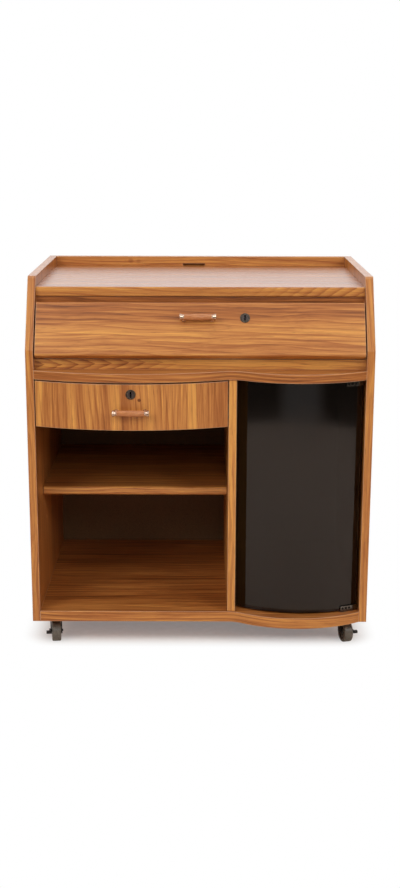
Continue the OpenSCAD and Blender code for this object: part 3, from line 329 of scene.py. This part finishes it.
def laminate(name, grain, seed, lift=0.0, rough=0.38, bands=0.32, growth_mm=10, growth=0.16,
             streaks=0.8, edge_lift=0.0, flames=(), figure=None, knots=()):
    made, tree = new_material("melamine_teak_" + name)
    shift = [seed * step for step in seed_steps]
    coords, bent, front = film_space(tree, grain, shift)
    band, streak, fibre, pore = printed_layers(tree, bent, grain, shift)
    line = growth_lines(tree, bent, grain, shift, growth_mm)

    value = middle_tone + lift - bands - streaks / 2 - fibre_weight / 2
    for layer, weight in ((band, bands * 2), (streak, streaks), (fibre, fibre_weight),
                          (line, -growth), (front, edge_lift)):
        value = add_node(tree, "ShaderNodeMath", {
            0: layer, 1: weight, 2: value}, operation="MULTIPLY_ADD")
    for flame in flames:
        value = add_flame(tree, value, bent, *flame)
    if figure:
        value = add_figure(tree, value, (coords, bent, front), streak, *figure)
    for knot in knots:
        value = add_knot(tree, value, coords, *knot)

    tone = add_node(tree, "ShaderNodeValToRGB", {"Fac": value}, stops=teak_tones)
    pit = add_node(tree, "ShaderNodeMapRange", {
        "Value": pore, "From Min": pore_limits[0], "From Max": pore_limits[1], "To Min": 0.0,
        "To Max": pore_strength})
    colour = add_node(tree, "ShaderNodeMix", {
        0: pit, 6: tone, 7: linear(pore_brown)}, data_type="RGBA").outputs[2]

    soft = add_node(tree, "ShaderNodeBevel", {"Radius": corner_reach}, samples=8)
    plain = add_node(tree, "ShaderNodeNewGeometry").outputs["Normal"]
    bend = add_node(tree, "ShaderNodeVectorMath", {
        0: soft, 1: plain}, operation="DOT_PRODUCT").outputs["Value"]
    # Painted highlight: the colour turns toward the pale rim tone where the softened normal bends
    # away from the face
    rim_highlight = add_node(tree, "ShaderNodeMapRange", {
        "Value": bend, "From Min": rim_highlight_limits[0], "From Max": rim_highlight_limits[1], "To Min": 0.0,
        "To Max": rim_highlight_strength})
    colour = add_node(tree, "ShaderNodeMix", {
        0: rim_highlight, 6: colour, 7: linear(rim_highlight_tone)}, data_type="RGBA").outputs[2]

    shine = add_node(tree, "ShaderNodeMath", {
        0: streak, 1: -streak_shine, 2: rough + streak_shine / 2}, operation="MULTIPLY_ADD")
    relief = add_node(
        tree, "ShaderNodeBump",
        {"Strength": film_bump, "Distance": bump_height, "Height": pore, "Normal": soft},
        invert=True)
    film = add_node(tree, "ShaderNodeBsdfPrincipled", {
        "Base Color": colour, "Roughness": shine, "IOR": melamine_ior, "Normal": relief})
    add_node(tree, "ShaderNodeOutputMaterial", {"Surface": film})
    return made


# %% [markdown]
# ## Twelve boards
# Sides, divider and drawer have upright grain, all others have grain along the board. The drawer
# front shows six bright and two dark flames and a knot, and the drop front a bright band across
# its middle with a darker one above. A pointed figure shows on the sill's left end and on the
# right end of the tray's front edge, and the gallery rail has a double knot.

# %% Twelve boards
drawer_flames = (
    ("X", -0.362, 0.014, 0.16), ("X", -0.286, 0.014, 0.05), ("X", -0.188, 0.012, 0.16),
    ("X", -0.109, 0.018, 0.12), ("X", -0.020, 0.014, 0.24), ("X", -0.246, 0.014, 0.10),
    ("X", -0.166, 0.010, -0.16), ("X", -0.212, 0.012, -0.10))
drop_flames = (("Z", 0.742, 0.026, 0.12), ("Z", 0.792, 0.024, -0.10))
teak = {
    "side_panel_left": laminate("side_left", "z", 1.0, lift=-0.05, rough=0.32),
    "side_panel_right": laminate("side_right", "z", 2.0, lift=0.03, rough=0.32, edge_lift=0.10),
    "divider": laminate("divider", "z", 3.0, lift=0.15, streaks=1.0, edge_lift=0.06),
    "drawer_front": laminate(
        "drawer", "z", 4.3, lift=0.04, bands=0.2, growth_mm=14, growth=0.20, flames=drawer_flames,
        knots=((-0.135, 0.603, 0.005, 0.5),)),
    "top_board": laminate(
        "tray", "x", 5.0, lift=-0.10, rough=0.27, growth=0.16, streaks=0.6, edge_lift=0.22,
        figure=(0.90, 1.8, 0.030, 0.36, 0.02, 0.34)),
    "gallery_rail": laminate(
        "gallery", "x", 6.0, lift=0.10, growth=0.26,
        knots=((-0.180, 0.852, 0.009, 0.16), (-0.160, 0.850, 0.007, 0.12))),
    # The top rail's lower lift is painted shade: its tone is darkened for the shadow in its recess
    # under the tray
    "top_rail": laminate("top_rail", "x", 7.0, lift=-0.12, growth=0.24),
    # The sill's high lift is partly painted light: it brightens the rail against the shade that the
    # drop front's lower edge casts on it
    "sill_rail": laminate(
        "sill", "x", 8.0, lift=0.19, growth=0.26, streaks=1.1,
        figure=(0.672, 2.6, 0.038, -0.20, 0.02, 0.42)),
    "waist_board": laminate(
        "waist", "x", 9.0, lift=-0.06, growth=0.20, growth_mm=9, streaks=1.2),
    "bottom_board": laminate(
        "bottom", "x", 10.0, lift=-0.09, growth=0.24, streaks=1.2, edge_lift=0.16),
    "shelf": laminate("shelf", "x", 11.0, lift=0.01, growth=0.30, streaks=1.2, edge_lift=0.10),
    "flap_panel": laminate(
        "drop_front", "x", 12.0, lift=0.04, growth_mm=13, growth=0.24, bands=0.30, streaks=0.9,
        flames=drop_flames),
}
print("laminates:", len(teak))

# %% [markdown]
# ## Boards and metals behind the show side
# Hardboard is pressed wood fibre, smooth and freckled. The drawer's box is chipboard in a plain
# wood-brown foil. Metals are pressed or drawn, then plated: nickel on the pulls, zinc on screws
# and runners. Rubber and moulded plastic are matt, with the faint texture of their moulds. All
# of these are one colour with a finer or coarser fleck in it, so one function makes them. On
# metal, rubber and plastic the real flecks are finer than 1 mm, and are drawn 2 to 4 mm wide to
# show. Whatever isn't metal has an IOR near 1.5, which is also the default that metals keep.

# %% Flecked finishes
fleck_shine = 0.16
small_corner = 0.0005


def flecked(name, light, dark, fleck_mm, rough, metallic=0.0, bump=0.1, stretch=(1, 1, 1)):
    made, tree = new_material(name)
    coords = add_node(tree, "ShaderNodeTexCoord").outputs["Object"]
    space = add_node(tree, "ShaderNodeMapping", {
        "Vector": coords, "Scale": [s * mm_per_m / fleck_mm for s in stretch]})
    fleck = add_node(tree, "ShaderNodeTexNoise", {
        "Vector": space, "Scale": 1.0, "Detail": 5.0, "Roughness": 0.6}).outputs["Fac"]
    tone = add_node(tree, "ShaderNodeValToRGB", {"Fac": fleck}, stops=((0.35, dark), (0.65, light)))
    shine = add_node(tree, "ShaderNodeMath", {
        0: fleck, 1: fleck_shine, 2: rough - fleck_shine / 2}, operation="MULTIPLY_ADD")
    soft = add_node(tree, "ShaderNodeBevel", {"Radius": small_corner}, samples=4)
    relief = add_node(tree, "ShaderNodeBump", {
        "Strength": bump, "Distance": bump_height, "Height": fleck, "Normal": soft})
    shader = add_node(tree, "ShaderNodeBsdfPrincipled", {
        "Base Color": tone, "Roughness": shine, "Metallic": metallic, "Normal": relief})
    add_node(tree, "ShaderNodeOutputMaterial", {"Surface": shader})
    return made


# Hardboard: freckles of 1.4 mm on a dull brown face
hardboard = flecked("hardboard", "#7E5F39", "#614627", 1.4, 0.6)
# Foil on chipboard: long soft streaks
foil = flecked("wood_foil", "#A87A4C", "#8B5F38", 25, 0.5, stretch=(1, 6, 30))
# Lacquered beech stained red-brown: a warm gloss over faint streaks
beech = flecked("stained_beech", "#CE8A55", "#A8653A", 16, 0.16, stretch=(1, 9, 9))
# Nickel plate: bright and a little warm
nickel = flecked("nickel_plate", "#D8BEAA", "#B49884", 3.3, 0.27, metallic=1.0, bump=0.03)
# Zinc plate: duller and bluish
zinc = flecked("zinc_plate", "#A9AAAB", "#8D8F91", 4, 0.36, metallic=1.0, bump=0.05)
# Turned steel of the clamps
steel = flecked("turned_steel", "#7E7B76", "#524F4C", 4, 0.2, metallic=1.0, bump=0.05)
# Bronzed brass of the locks: dark, with a worn lighter fleck
bronzed = flecked("bronzed_brass", "#6E655B", "#3E3730", 2.5, 0.36, metallic=1.0, bump=0.05)
# Near-black steel: the clamps' screws are blackened, and the strike plate for the latch gets the
# same near-black as painted shade, so that it sinks into the dark behind the glass
blackened_and_painted_shade = flecked("blackened_steel_and_painted_shade", "#2A2827", "#1B1A19", 3, 0.5, metallic=1.0, bump=0.05)
# Buffers, moulded fittings, and the grey tread of the wheels
rubber = flecked("black_rubber", "#2B2A29", "#1C1B1A", 2, 0.75)
nylon = flecked("black_nylon", "#222120", "#161514", 2.5, 0.42)
tread = flecked("grey_tread", "#716C63", "#5A564E", 3.3, 0.4)
print("flecked finishes:", ", ".join(m.name for m in (
    hardboard, foil, beech, nickel, zinc, steel, bronzed, blackened_and_painted_shade, rubber, nylon, tread)))

# %% [markdown]
# ## Lock plugs
# A plug's face is as dark as its ring, with lighter spots where a key has rubbed it. The keyway in
# its middle is a dark upright slot. The real slot is 1.5 mm wide, too fine for the picture, so its
# shade is drawn 3.5 mm wide about the cut one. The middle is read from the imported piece.

# %% Lock plugs
keyway_half_widths = (0.0014, 0.0021)
keyway_shade = "#0E0C0A"
plug_tones = ("#4A4344", "#6E6462")
rub_mm, rub_shine, least_rough = 2.5, 0.2, 0.26


def lock_plug(node):
    made, tree = new_material("worn_brass_" + node)
    first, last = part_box(node)
    middle = (first[0] + last[0]) / 2
    coords = add_node(tree, "ShaderNodeTexCoord").outputs["Object"]
    across = add_node(tree, "ShaderNodeSeparateXYZ", {"Vector": coords}).outputs["X"]
    across = add_node(tree, "ShaderNodeMath", {0: across, 1: middle}, operation="SUBTRACT")
    across = add_node(tree, "ShaderNodeMath", {0: across}, operation="ABSOLUTE")
    face = add_node(tree, "ShaderNodeMapRange", {
        "Value": across, "From Min": keyway_half_widths[0], "From Max": keyway_half_widths[1],
        "To Min": 0.0, "To Max": 1.0})
    rubs = add_node(tree, "ShaderNodeTexNoise", {
        "Vector": coords, "Scale": mm_per_m / rub_mm, "Detail": 4.0}).outputs["Fac"]
    tone = add_node(tree, "ShaderNodeValToRGB", {"Fac": rubs}, stops=zip((0.3, 0.7), plug_tones))
    colour = add_node(tree, "ShaderNodeMix", {
        0: face, 6: linear(keyway_shade), 7: tone}, data_type="RGBA").outputs[2]
    shine = add_node(tree, "ShaderNodeMath", {
        0: rubs, 1: rub_shine, 2: least_rough}, operation="MULTIPLY_ADD")
    shader = add_node(tree, "ShaderNodeBsdfPrincipled", {
        "Base Color": colour, "Roughness": shine, "Metallic": 1.0})
    add_node(tree, "ShaderNodeOutputMaterial", {"Surface": shader})
    print(node, "keyway at x =", round(middle * mm_per_m, 1), "mm")
    return made


plugs = {node: lock_plug(node) for node in ("flap_lock_plug", "drawer_lock_plug")}

# %% [markdown]
# ## Smoked glass
# The door is float glass, tinted brown through and through. Nearly all that shows on it is what
# its front face mirrors, so it needs few colours: a dark tint for what passes through, and an
# almost neutral one for the mirror image. Wipe marks blur that image a little.

# %% Smoked glass
glass_tints = ("#4C3A2F", "#57453A")
mirror_tint = "#FFFBFA"
glass_ior = 1.52
wipes_per_m, wipe_blur, least_blur = 9.0, 0.14, 0.02

glass, tree = new_material("smoked_glass")
coords = add_node(tree, "ShaderNodeTexCoord").outputs["Object"]
wipes = add_node(tree, "ShaderNodeTexNoise", {
    "Vector": coords, "Scale": wipes_per_m, "Detail": 4.0}).outputs["Fac"]
blur = add_node(tree, "ShaderNodeMath", {
    0: wipes, 1: wipe_blur, 2: least_blur}, operation="MULTIPLY_ADD")
tint = add_node(tree, "ShaderNodeValToRGB", {"Fac": wipes}, stops=zip((0.3, 0.7), glass_tints))
pane = add_node(tree, "ShaderNodeBsdfPrincipled", {
    "Base Color": tint, "Roughness": blur, "IOR": glass_ior, "Transmission Weight": 1.0,
    "Specular Tint": linear(mirror_tint)})
add_node(tree, "ShaderNodeOutputMaterial", {"Surface": pane})
print("glass tints:", *glass_tints)

# %% [markdown]
# ## Each piece gets its finish
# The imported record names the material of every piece. A few pieces share a record entry but not
# the exact finish, such as the lock's plug in its ring, so those are named one by one.

# %% Finishes on the pieces
by_slot = {
    "hardboard": hardboard, "box_wood": foil, "grip_wood": beech, "pull_metal": nickel,
    "zinc_steel": zinc, "lock_metal": bronzed, "black_rubber": rubber, "black_plastic": nylon,
    "smoked_glass": glass, "tread_plastic": tread}
by_name = {
    **teak, **plugs, "hinge_clamp_top": steel, "hinge_clamp_bottom": steel,
    # The strike plate's near-black is painted shade; the clamp screws are blackened steel
    "clamp_screws": blackened_and_painted_shade, "strike_plate": blackened_and_painted_shade}
slot_of = {s["node"]: s["material_slot"] for s in frame["record"]["subparts"]}
for name, piece in nodes.items():
    piece.data.materials.clear()
    piece.data.materials.append(by_name.get(name) or by_slot[slot_of[name]])
print("finished pieces:", len(nodes))

# %% [markdown]
# ## Wooden grips
# On the real pulls the wood reaches over the ends' necks, so that only the flared tips show metal.
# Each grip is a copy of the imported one. Its loose triangles are merged, and then it is drawn out
# along the rod and made a little stouter about its own middle, so it still turns on the same rod.

# %% Wooden grips
grip_length, grip_stoutness = 1.28, 1.07
merge_distance = 0.00001
smooth_below = math.radians(40)


def longer_grip(node, body):
    bpy.ops.object.select_all(action="DESELECT")
    made = nodes[node].copy()
    made.data = nodes[node].data.copy()
    made.name = node + "_drawn_out"
    scene.collection.objects.link(made)
    first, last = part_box(node)
    middle = [(a + b) / 2 for a, b in zip(first, last)]
    bpy.context.view_layer.objects.active = made
    made.select_set(True)
    bpy.ops.object.mode_set(mode="EDIT")
    bpy.ops.mesh.select_all(action="SELECT")
    bpy.ops.mesh.remove_doubles(threshold=merge_distance)
    bpy.ops.transform.resize(
        value=(grip_length, grip_stoutness, grip_stoutness), center_override=middle)
    bpy.ops.object.mode_set(mode="OBJECT")
    bpy.ops.object.shade_smooth_by_angle(angle=smooth_below)
    made.select_set(False)
    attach(made, body)
    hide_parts(node)
    print(made.name, "length", round((last[0] - first[0]) * grip_length * mm_per_m, 1), "mm")


longer_grip("flap_pull_grip", "flap")
longer_grip("drawer_pull_grip", "drawer")

# %% [markdown]
# ## Paper floor
# The cabinet stands on white paper, tinted warm as painted bounce light: the tint stands in for the
# brown light that the cabinet throws into its shadow. In front of the glass door and to its sides
# the paper ends 2.4 m from it, which its image in the door shows, so its front is a half round.
# Away from the cabinet the camera sees the paper as pure white, as in a product photograph, and
# close to it the paper keeps the soft shadow, made brownish by that painted tint and mixed with a
# fifth of that white.

# %% Paper floor
paper_middle, paper_radius, paper_back = (0.2, -0.25), 2.4, 9.0
arc_steps = 24

mesh = bpy.data.meshes.new("paper_floor")
round_front = [math.radians(180 + 180 * step / arc_steps) for step in range(arc_steps + 1)]
corners = [(paper_middle[0] + paper_radius * math.cos(a),
            paper_middle[1] + paper_radius * math.sin(a), 0) for a in round_front]
corners += [(paper_middle[0] + side * paper_radius, paper_back, 0) for side in (1, -1)]
mesh.from_pydata(corners, [], [tuple(range(len(corners)))])
floor = bpy.data.objects.new("paper_floor", mesh)
scene.collection.objects.link(floor)
floor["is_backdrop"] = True
print("paper corners:", len(corners))

# %% White paper
# Warm paper tints: painted bounce light from the cabinet, seen mostly in its shadow
bounce_warmed_paper_tints = ("#F1DFCF", "#F7E7DA")
fibres_per_m = 60.0
shadow_reach, white_share = 0.09, 0.2
shadow_inset = (0.05, 0.15)
shadow_core = [(high[i] - low[i]) / 2 - shadow_inset[i] for i in (0, 1)]

paper, tree = new_material("white_paper")
coords = add_node(tree, "ShaderNodeTexCoord").outputs["Object"]
outside = add_node(tree, "ShaderNodeVectorMath", {0: coords}, operation="ABSOLUTE")
outside = add_node(tree, "ShaderNodeVectorMath", {
    0: outside, 1: (*shadow_core, 0)}, operation="SUBTRACT")
outside = add_node(tree, "ShaderNodeVectorMath", {0: outside, 1: (0, 0, 0)}, operation="MAXIMUM")
distance = add_node(tree, "ShaderNodeVectorMath", {
    0: outside}, operation="LENGTH").outputs["Value"]
clear = add_node(
    tree, "ShaderNodeMapRange",
    {"Value": distance, "From Min": 0.0, "From Max": shadow_reach, "To Min": white_share,
     "To Max": 1.0},
    interpolation_type="SMOOTHSTEP")
seen = add_node(tree, "ShaderNodeLightPath").outputs["Is Camera Ray"]
amount = add_node(tree, "ShaderNodeMath", {0: clear, 1: seen}, operation="MULTIPLY")
fibres = add_node(tree, "ShaderNodeTexNoise", {
    "Vector": coords, "Scale": fibres_per_m, "Detail": 3.0}).outputs["Fac"]
bounce_warmed_sheet = add_node(tree, "ShaderNodeValToRGB", {"Fac": fibres}, stops=zip((0.3, 0.7), bounce_warmed_paper_tints))
matt = add_node(tree, "ShaderNodeBsdfDiffuse", {"Color": bounce_warmed_sheet})
white = add_node(tree, "ShaderNodeEmission", {"Color": (1, 1, 1, 1), "Strength": 1.0})
both = add_node(tree, "ShaderNodeMixShader", {0: amount, 1: matt, 2: white})
add_node(tree, "ShaderNodeOutputMaterial", {"Surface": both})
floor.data.materials.append(paper)
print("full shadow within", [round(half, 3) for half in shadow_core], "m of the middle")

# %% [markdown]
# ## Surroundings
# The camera sees white behind the cabinet. Gloss sees white behind it too, which gives the tray its
# pale sheen, and a dim room on the photographer's side, lighter in the middle, which is what the
# glass door mirrors at its top. For plain light the surroundings are a low even grey. Limits are
# given as parts of a direction of length one, such as x from 0.22 to 0.45.

# %% Surroundings
ambient = 0.175
room_x, room_middle, room_sides = (0.22, 0.45), 0.38, 0.10
behind_y, behind_white = (-0.1, 0.3), 1.25
room_tint = "#F0D2B6"
neutral_above = 0.5

world = bpy.data.worlds.new("studio")
world.use_nodes = True
scene.world = world
tree = world.node_tree
tree.nodes.clear()
path = add_node(tree, "ShaderNodeLightPath")
sky = add_node(tree, "ShaderNodeTexCoord").outputs["Generated"]
direction = add_node(tree, "ShaderNodeSeparateXYZ", {0: sky})
sideways = add_node(tree, "ShaderNodeMath", {0: direction.outputs["X"]}, operation="ABSOLUTE")
room = add_node(tree, "ShaderNodeMapRange", {
    "Value": sideways, "From Min": room_x[0], "From Max": room_x[1], "To Min": room_middle,
    "To Max": room_sides})
behind = add_node(tree, "ShaderNodeMapRange", {
    "Value": direction.outputs["Y"], "From Min": behind_y[0], "From Max": behind_y[1],
    "To Min": room, "To Max": behind_white})
mirrored = add_node(tree, "ShaderNodeMath", {0: behind, 1: ambient}, operation="SUBTRACT")
lit = add_node(tree, "ShaderNodeMath", {
    0: path.outputs["Is Glossy Ray"], 1: mirrored, 2: ambient}, operation="MULTIPLY_ADD")
strength = add_node(tree, "ShaderNodeMath", {
    0: lit, 1: path.outputs["Is Camera Ray"]}, operation="MAXIMUM")
# The dim room is warm, the white behind the cabinet is neutral
neutral = add_node(tree, "ShaderNodeMath", {
    0: strength, 1: 1 / neutral_above}, operation="MULTIPLY", use_clamp=True)
air = add_node(tree, "ShaderNodeMix", {
    0: neutral, 6: linear(room_tint), 7: (1, 1, 1, 1)}, data_type="RGBA").outputs[2]
backdrop = add_node(tree, "ShaderNodeBackground", {"Color": air, "Strength": strength})
add_node(tree, "ShaderNodeOutputWorld", {"Surface": backdrop})
print("ambient strength:", ambient)

# %% [markdown]
# ## Soft lights
# Two large softboxes stand left and right of the camera, and a third hangs above, so that all
# shadows are soft. A fourth, high behind the cabinet, skims over the tray, and a small one above
# the camera puts a bright dot on each metal piece. Each has its place, the point that it is aimed
# at, its size in metres and its power in watts.


# %% Soft lights
def softbox(name, place, aim, size, power):
    light = bpy.data.lights.new(name, "AREA")
    light.shape = "RECTANGLE"
    light.size, light.size_y = size
    light.energy = power
    made = bpy.data.objects.new(name, light)
    scene.collection.objects.link(made)
    made.location = place
    made.rotation_euler = (Vector(aim) - Vector(place)).to_track_quat("-Z", "Y").to_euler()


softbox("key_left", (-2.2, -2.6, 2.6), (0, 0, 0.5), (1.8, 1.8), 57)
softbox("key_right", (2.2, -2.6, 2.4), (0, 0, 0.5), (1.8, 1.8), 49)
softbox("top", (0, -0.6, 3.2), (0, -0.1, 0), (3.0, 2.2), 23)
softbox("behind", (0, 3.6, 2.9), (0, 0, 0.8), (3.0, 1.2), 27)
softbox("front", (0.1, -3.5, 1.9), (0, 0, 0.5), (0.5, 0.5), 7)

# %% Compare the sizes
low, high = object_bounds()
print("visual size:", [round(h - l, 4) for l, h in zip(low, high)])
